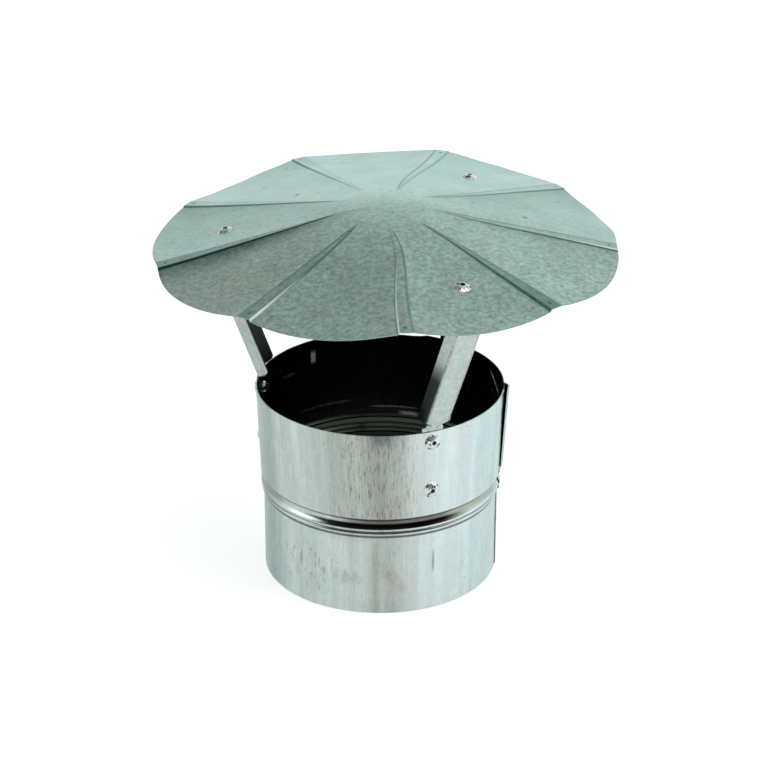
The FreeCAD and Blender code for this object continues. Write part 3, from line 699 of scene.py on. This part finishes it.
def panel_columns(index, start, end):
    """The lines of the panel after a pleat, which fan out to a bowed edge that sags."""
    middle = math.degrees(math.atan2(start.y + end.y, start.x + end.x))
    turn = Matrix.Rotation(math.radians(middle), 3, "Z")
    chord = (end - start).xy.length / 2
    rise = HOOD_RADIUS - (start.xy + end.xy).length / 2
    radius = (chord ** 2 + rise ** 2) / (2 * rise)
    reach = math.asin(chord / radius)
    skew = SKEW[index]
    following = (index + 1) % PLEATS
    columns = []
    for step in range(1, PANEL_STEPS):
        share = step / PANEL_STEPS
        angle = (2 * share - 1) * reach
        point = Vector((HOOD_RADIUS - radius + radius * math.cos(angle),
                        radius * math.sin(angle), 0))
        bent = share ** (1 - skew) if skew >= 0 else 1 - (1 - share) ** (1 + skew)
        sag = 4 * bent * (1 - bent) * PANEL_SAG
        height = start.z + share * (end.z - start.z) - sag
        inner = polar(CROWN_RADIUS, middle + (share - 0.5) * PITCH) + Vector((0, 0, CROWN_EDGE))
        bow = BOW[index] * max(0, 1 - share * 3) ** 2 + BOW[following] * max(0, share * 3 - 2) ** 2
        across = PLEAT_HALF * (max(0, 1 - share * 4) - max(0, share * 4 - 3))
        taper = TAPER[index] if share < 0.5 else TAPER[following]
        columns.append((inner, turn @ point + Vector((0, 0, height)), bow, across, taper))
    return columns


def between(pair, share):
    return max(0.0, pair[0] + (pair[1] - pair[0]) * share)


def hood_paint(point, share):
    """What the hood's material reads at a vertex: its nearest pleat, and how far out it is."""
    index = round((azimuth_of(point) - FIRST_PLEAT) / PITCH) % PLEATS
    turn = Matrix.Rotation(math.radians(-FIRST_PLEAT - index * PITCH - TURN[index]), 3, "Z")
    local = turn @ point
    across = local.y
    half = PLEAT_HALF * share ** TAPER[index]
    from_b = across - half
    out_of_crown = min(1, share * 12)
    fade_in = min(1, share * 1.6)
    over_pleat = min(1, max(0, 0.5 + across / max(0.5, 2 * half)))
    behind, ahead = PANEL_PAINTED_LIGHT[(index + PLEATS - 1) % PLEATS], PANEL_PAINTED_LIGHT[index]
    painted_panel_light = behind + (ahead - behind) * over_pleat - CROWN_PAINTED_LIGHT
    paint = {
        "from_a": across + half,
        "from_b": from_b,
        "dark_a": between(DARK_A[index], share) * out_of_crown,
        "dark_b": between(DARK_B[index], share) * out_of_crown,
        "bright_a": between(BRIGHT_A.get(index, (0, 0)), share),
        "bright_b": between(BRIGHT_B.get(index, (0, 0)), share),
        "strip": between(STRIP_SHADE[index], share) if abs(across) < half else 0.0,
        "pin": (local.xy - Vector((PIN_RADIUS, 0))).length,
        "painted_panel_light": CROWN_PAINTED_LIGHT + painted_panel_light * min(1, share * 4),
        "shade": 0.0,
        "warm": 0.0,
    }
    if index == SHADED_AFTER and from_b > 0:
        away = from_b / (6 + 16 * share)
        along = max(0, 1 - abs(share - 0.5) * 1.6) ** 0.6
        paint["shade"] = 0.95 * max(0, 1 - away) * along
    if index == SHADED_AFTER and from_b > 6:
        paint["warm"] = 0.7 * min(1, (from_b - 6) / 16) * fade_in
    if index == WARM_SHADE_BEFORE and from_b < -2 * half:
        paint["warm"] = 0.6 * min(1, -(from_b + 2 * half) / 4) * fade_in
    return paint


def bent_by_hand(point, share):
    """The unevenness of the real hood: its edge bent and drawn in, and small waves all over."""
    azimuth = azimuth_of(point)
    point.z += at_azimuth(EDGE_LIFT, azimuth) * share ** 5
    drawn = 1 + at_azimuth(EDGE_TRIM, azimuth) * share ** 3 / HOOD_RADIUS
    point.x, point.y = point.x * drawn, point.y * drawn
    place = Vector((point.x / 42, point.y / 42, 0.7))
    point.z += share * 0.22 * noise.noise(place) + share * 0.05 * noise.noise(place * 3.1)
    return point


def hood_mesh():
    pleats = [pleat_columns(index) for index in range(PLEATS)]
    columns = []
    for index, pleat in enumerate(pleats):
        next_pleat = pleats[(index + 1) % PLEATS]
        columns += pleat + panel_columns(index, pleat[-1][1], next_pleat[0][1])
    dome = (CROWN_RADIUS ** 2 + CROWN_RISE ** 2) / (2 * CROWN_RISE)
    verts = [Vector((0, 0, CROWN_EDGE + CROWN_RISE))]
    paints = [hood_paint(Vector((1, 0, 0)), 0)]
    for ring in range(1, CROWN_RINGS):
        share = ring / CROWN_RINGS
        radius = share * CROWN_RADIUS
        height = CROWN_EDGE + CROWN_RISE - dome + math.sqrt(dome ** 2 - radius ** 2)
        for inner, *_ in columns:
            verts.append(Vector((inner.x * share, inner.y * share, height)))
            paints.append(hood_paint(inner, 0))
    for row in range(HOOD_ROWS + 1):
        share = row / HOOD_ROWS
        for inner, outer, bow, across, taper in columns:
            point = inner.lerp(outer, share)
            sideways = Vector((-point.y, point.x, 0)).normalized()
            point = point + sideways * across * (share ** taper - share)
            paints.append(hood_paint(point, share))
            lean = bow * math.sin(math.pi * min(1, share * 1.15) ** 0.6) ** 2
            verts.append(bent_by_hand(point + sideways * lean, share))
    wide = len(columns)
    faces = [(0, 1 + at, 1 + (at + 1) % wide) for at in range(wide)]
    for low, low_next, high_next, high in grid_faces(CROWN_RINGS + HOOD_ROWS, wide, 1, closed=True):
        faces.append((low, high, high_next, low_next))
    layers = {name: [paint[name] for paint in paints] for name in paints[0]}
    return [settled() @ vert for vert in verts], faces, layers


hood_verts, hood_faces, hood_layers = hood_mesh()
hood = add_mesh("hood_sheet", hood_verts, hood_faces, finishes["hood"], layers=hood_layers)
thicken(hood, SHEET)
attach(hood, "root")
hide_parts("hood")


# Collar: a fine lathe of the same wall, with a rolled channel above two small beads

SPIGOT_RADIUS = 57.0
WAIST_RADIUS = 58.3
WALL_RADIUS = 58.4
WALL_BOTTOM = 51.8
RIM_RADIUS = 60.0
COLLAR_HEIGHT = 95.3
COLLAR_TURNS = 540
COLLAR_WAVER = 0.12
BOTTOM_EDGE_TURN = 0.12

# The back of the rim dips a little: by how much, where, how wide to each side, and from what height
RIM_DIP = 1.3
RIM_DIP_AZIMUTH = 79
RIM_DIP_HALF = 12
RIM_DIP_FROM = 80

# Radius and height of the outer face along the beads, from the bottom up
BEADS = (
    (57.00, 39.6), (56.95, 40.3), (56.85, 40.9), (57.10, 41.5), (57.62, 42.0), (57.90, 42.5),
    (57.92, 43.0), (57.62, 43.5), (57.42, 43.8), (57.62, 44.1), (58.12, 44.6), (58.36, 45.1),
    (58.34, 45.6), (58.05, 46.1), (57.72, 46.7), (57.42, 47.4), (57.20, 48.2), (57.06, 48.9),
    (57.06, 49.4), (57.30, 49.9), (57.80, 50.4), (58.22, 50.8), (58.40, 51.2), (58.40, 51.8),
)


def collar_profile():
    """Radius and height of the outer face, from the bottom up."""
    heights = [0, 0.25, 0.8, 2, 5] + [5 + step * 3.3 for step in range(1, 11)]
    spigot = [(SPIGOT_RADIUS - (0 if height else BOTTOM_EDGE_TURN), height) for height in heights]
    wall = []
    for step in range(1, 17):
        share = step / 16
        wall.append((WALL_RADIUS + share * (RIM_RADIUS - WALL_RADIUS),
                     WALL_BOTTOM + share * (COLLAR_HEIGHT - WALL_BOTTOM)))
    return spigot + list(BEADS) + wall


def collar_mesh():
    verts = []
    rows = collar_profile()
    for radius, height in rows:
        top = max(0, (height - RIM_DIP_FROM) / (COLLAR_HEIGHT - RIM_DIP_FROM))
        for step in range(COLLAR_TURNS):
            azimuth = step / 1.5 - 180
            place = polar(1, azimuth) * 1.3 + Vector((0, 0, height / 40))
            bent = COLLAR_WAVER * noise.noise(place)
            at_back = max(0, 1 - abs((azimuth - RIM_DIP_AZIMUTH) / RIM_DIP_HALF) ** 3)
            dip = at_back * top * RIM_DIP
            verts.append(polar(radius + bent, azimuth) + Vector((0, 0, height - dip)))
    return verts, grid_faces(len(rows), COLLAR_TURNS, closed=True)


SEAM_START = -8.5
SEAM_END = -1.1
SEAM_STEPS = 14
SEAM_SHEET = 0.85
SEAM_ROUND_FROM = 0.75
BEADS_FROM = 39.7
WALL_FROM = 52


def seam_stand_off(height):
    """How far the seam's fold stands off: flat on the spigot and the beads, wider up the wall."""
    if height > WALL_FROM:
        up = height - WALL_FROM
        return 0.9 + min(1, up / 4) * (0.5 + up / 44)
    return 0.3 if height < BEADS_FROM else 0.5


def seam_mesh():
    """The seam's outer fold, whose edge to the back is rounded down to the wall."""
    verts = []
    rows = collar_profile()
    for radius, height in rows:
        off = seam_stand_off(height)
        for step in range(SEAM_STEPS + 1):
            share = step / SEAM_STEPS
            rounded = max(0, (share - SEAM_ROUND_FROM) / (1 - SEAM_ROUND_FROM)) ** 2
            azimuth = SEAM_START + share * (SEAM_END - SEAM_START)
            verts.append(polar(radius + off * (1 - rounded), azimuth) + Vector((0, 0, height)))
    return verts, grid_faces(len(rows), SEAM_STEPS + 1)


collar = add_mesh("collar_sheet", *collar_mesh(), finishes["collar"], sharp=50)
thicken(collar, SHEET)
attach(collar, "root")
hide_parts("collar")

seam = add_mesh("collar_seam", *seam_mesh(), finishes["collar"], sharp=50)
thicken(seam, SEAM_SHEET)
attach(seam, "root")


# Legs: one folded strip each, with a foot inside the collar, an open channel and a tab

LEG_SHEET = 0.8
FOOT_TOP = 98.5
FOOT_BOTTOM = 57.3
FOOT_HALF = 5.3
FOOT_CORNER = 0.8
FOOT_FOLD = 1.4
FOOT_GAP = 0.1
FOOT_ROWS = 14
CONE_BOTTOM = 50.3
CONE_HEIGHT = 45
WEB_HALF = 4.9
NECK_HALF = 4.0
BEND_RADIUS = 2.4
BEND_ANGLE = math.radians(62)
BEND_STEPS = 6
FLANGE_STEPS = 3
TAB_DROP = 0.12
TAB_SPOTS = (0.5, 1.2, 2.5, 6, 10, 14, 18, 21, 23, 24.2, 25)
TAB_CORNER_FROM = 23

# The front leg's flange to the left has a painted dark reflection below this height
DARK_FLANGE_LEG = 2
DARK_FLANGE_BELOW = 139

# For each leg: the azimuth of its foot, where the channel starts at the fold, where it ends under
# the hood, where its tab ends, and the width of its flanges
LEGS = (
    (174.1, (-58.4, 4.53, 98.5), (-83.6, 4.97, 168.2), (-60.8, 3.57, 173.9), 6.0),
    (294.1, (26.3, -53.5, 98.5), (43.6, -79.0, 169.6), (32.3, -56.7, 174.98), 3.9),
    (54.1, (33.63, 49.19, 98.5), (51.23, 74.47, 173.9), (37.54, 53.55, 178.02), 4.2),
)


def foot_row(azimuth, height, half, shares):
    """Across the foot, which lies against the inside of the collar."""
    widening = (height - CONE_BOTTOM) / CONE_HEIGHT * (RIM_RADIUS - WAIST_RADIUS)
    radius = WAIST_RADIUS + widening - SHEET - FOOT_GAP
    lift = Vector((0, 0, height))
    return [polar(radius, azimuth + math.degrees(share * half / radius)) + lift for share in shares]


def channel_half(half, flange, bend):
    """Half of the channel's section, from the web to the flange's edge: outward and sideways."""
    section = []
    for step in range(BEND_STEPS + 1):
        turn = bend * step / BEND_STEPS
        section.append((BEND_RADIUS * (math.cos(turn) - 1), half + BEND_RADIUS * math.sin(turn)))
    low, wide = section[-1]
    for step in range(1, FLANGE_STEPS + 1):
        reach = flange * step / FLANGE_STEPS
        section.append((low - reach * math.sin(bend), wide + reach * math.cos(bend)))
    return section


def channel_section(half, flange, bend):
    """A flat web, and a round bend and a splayed flange to each side of it."""
    side = channel_half(half, flange, bend)
    web = [(0, share * half) for share in (-0.6, -0.2, 0.2, 0.6)]
    return [(outward, -sideways) for outward, sideways in side[::-1]] + web + side


def channel_rows(start, end, across, out, splay):
    """Along the channel: it opens from the flat foot, and closes again to the flat tab."""
    length = (end - start).length
    along = (end - start).normalized()
    spots = [0.4, 0.8, 1.1, 1.5, 2.0, 2.6, 3.4, 5, 9, 15]
    spots += [15 + (length - 26) * step / 8 for step in range(1, 9)]
    spots += [length - before for before in (9, 7.5, 6.2, 5.2, 4.2, 3, 1.6, 0.6)]
    rows = []
    for at in spots:
        begin = min(1, max(0, (at - 0.7) / 2.2))
        finish = min(1, max(0, (length - 4.5 - at) / 4.5))
        opened = min(math.sqrt(1 - (1 - begin) ** 2), math.sqrt(1 - (1 - finish) ** 2))
        half = (NECK_HALF if at < 0.7 else WEB_HALF) * (0.94 + 0.06 * at / length)
        section = channel_section(half, splay * opened, BEND_ANGLE * min(1, opened * 1.4) + 0.001)
        rows.append([start + along * at + out * outward + across * sideways
                     for outward, sideways in section])
    return rows


def leg_mesh(number, foot_azimuth, start, end, tab_end, splay):
    start, end, tab_end = Vector(start), Vector(end), Vector(tab_end)
    along = (end - start).normalized()
    out = polar(1, foot_azimuth + 90).cross(along).normalized()
    across = along.cross(out)
    size = len(channel_section(WEB_HALF, 0, 0))
    shares = [-1 + 2 * at / (size - 1) for at in range(size)]

    rows = []
    for step in range(FOOT_ROWS + 1):
        height = FOOT_BOTTOM + (FOOT_TOP - FOOT_FOLD - FOOT_BOTTOM) * step / FOOT_ROWS
        half = FOOT_HALF - (0 if step else FOOT_CORNER)
        rows.append(foot_row(foot_azimuth, height, half, shares))
    for height, half in ((97.3, 4.1), (97.9, 4.0)):
        rows.append(foot_row(foot_azimuth + 0.8, height, half, shares))
    rows += channel_rows(start, end, across, out, splay)
    inward = (tab_end - end).normalized()
    up = across.cross(inward)
    up = up if up.z > 0 else -up
    for at in TAB_SPOTS:
        half = WEB_HALF - 0.35 * max(0, at - TAB_CORNER_FROM)
        rows.append([end + inward * at - up * TAB_DROP + across * share * half for share in shares])
    verts = [vert for row in rows for vert in row]

    middle = (size - 1) / 2
    crease = [abs(abs(at - middle) - 5) / 3 for at in range(size)]
    low_side = [min(1, max(0, (middle - 4.2 - at) / 2)) for at in range(size)]
    # A painted dark reflection on the flange of the low side
    painted_flange_reflection = []
    for row in rows:
        height = row[0].z
        on_dark_flange = number == DARK_FLANGE_LEG and height > FOOT_TOP
        dark = min(1, max(0, (DARK_FLANGE_BELOW - height) / 10)) if on_dark_flange else 0
        painted_flange_reflection += [dark * edge for edge in low_side]
    layers = {"crease": crease * len(rows), "painted_flange_reflection": painted_flange_reflection}
    return verts, grid_faces(len(rows), size), layers


for number, leg_shape in enumerate(LEGS, 1):
    leg_verts, leg_faces, leg_layers = leg_mesh(number, *leg_shape)
    leg = add_mesh("leg_strip_%d" % number, leg_verts, leg_faces, finishes["leg"],
                   sharp=60, layers=leg_layers)
    face_out(leg, polar(1, leg_shape[0]))
    thicken(leg, LEG_SHEET)
    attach(leg, "root")
    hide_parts("leg_%d" % number)


# Floor, backdrop and light

FLOOR_SIZE = 12
FLOOR_HEIGHT = -0.0002


def floor_material():
    """White to the camera but for the shadow. Metal mirrors it as grey, darker to the left."""
    material = bpy.data.materials.new("floor_paper")
    material.use_nodes = True
    g = Graph(material.node_tree)
    out = g.add("ShaderNodeOutputMaterial")
    paper = g.add("ShaderNodeBsdfDiffuse", {"Color": rgb(0.86, 0.86, 0.86)})
    x = g.split(g.add("ShaderNodeTexCoord").outputs["Object"])[0]
    across = g.ramp(x, -0.25, 0.25, smooth=False)
    path = g.add("ShaderNodeLightPath")
    direct = g.add("ShaderNodeEmission", {
        "Color": rgb(1, 1, 1), "Strength": g.math("MULTIPLY", g.seen(path), 0.62),
    })
    glow = g.add("ShaderNodeEmission", {
        "Color": g.mix(across, rgb(0.97, 1.0, 0.95), rgb(0.97, 1.0, 1.05)),
        "Strength": g.math("MULTIPLY", path.outputs["Is Glossy Ray"],
                           g.math("MULTIPLY_ADD", across, 0.23, 0.165)),
    })
    both = g.add("ShaderNodeAddShader", {0: direct.outputs[0], 1: glow.outputs[0]})
    total = g.add("ShaderNodeAddShader", {0: paper.outputs[0], 1: both.outputs[0]})
    g.put(out.inputs[0], total.outputs[0])
    return material


bpy.ops.mesh.primitive_plane_add(size=FLOOR_SIZE, location=(0, 0, FLOOR_HEIGHT))
floor = bpy.context.object
floor.name = "floor"
floor.data.materials.append(floor_material())

# The direction and the brightness of each soft box that the metal mirrors
SOFT_BOXES = (((-0.875, -0.235, 0.42), 1.3), ((0.77, -0.28, 0.574), 0.8))


def studio():
    """White behind the object, a dark room behind the camera, and two soft boxes beside it."""
    world = bpy.data.worlds.new("studio")
    world.use_nodes = True
    g = Graph(world.node_tree)
    out = g.add("ShaderNodeOutputWorld")
    path = g.add("ShaderNodeLightPath")
    way = g.add("ShaderNodeTexCoord").outputs["Generated"]
    x, y, z = g.split(way)
    backdrop = g.math("SUBTRACT", g.ramp(z, 0.0, 0.5, 1.2, 0.68, smooth=False),
                      g.ramp(z, 0.5, 1.0, 0.0, 0.24, smooth=False))
    shadow = g.times(g.ramp(x, 0.0, -0.55), g.ramp(z, 0.15, 0.6), 0.6)
    backdrop = g.times(backdrop, g.math("SUBTRACT", 1.0, shadow),
                       g.math("MULTIPLY_ADD", x, 0.14, 0.98))
    room = g.math("ADD", g.ramp(z, 0.36, 0.6, 0.045, 0.32), g.ramp(z, 0.7, 1.0, 0.0, 0.1))
    level = g.math("MULTIPLY_ADD", g.ramp(y, -0.02, -0.5), g.math("SUBTRACT", room, backdrop),
                   backdrop)
    for box, bright in SOFT_BOXES:
        facing = g.add("ShaderNodeVectorMath", {0: way, 1: box}, operation="DOT_PRODUCT")
        glow = g.ramp(facing.outputs["Value"], 0.93, 0.975, 0.0, bright)
        level = g.math("ADD", level, glow)
    tint = g.mix(g.ramp(z, 0.05, 0.6), rgb(0.99, 1.0, 1.07), rgb(1.0, 1.0, 0.97))
    sky = g.add("ShaderNodeBackground", {"Color": tint, "Strength": level})
    white = g.add("ShaderNodeBackground", {"Color": rgb(1, 1, 1), "Strength": 1.0})
    both = g.add("ShaderNodeMixShader", {0: g.seen(path), 1: sky.outputs[0], 2: white.outputs[0]})
    g.put(out.inputs[0], both.outputs[0])
    return world


scene.world = studio()

key_data = bpy.data.lights.new("key", "AREA")
key_data.shape = "RECTANGLE"
key_data.size = key_data.size_y = 1.2
key_data.energy = 6
key = bpy.data.objects.new("key", key_data)
key.location = (0.5, -0.7, 1.7)
key.rotation_euler = (Vector((0, 0, 0.1)) - key.location).to_track_quat("-Z", "Y").to_euler()
scene.collection.objects.link(key)
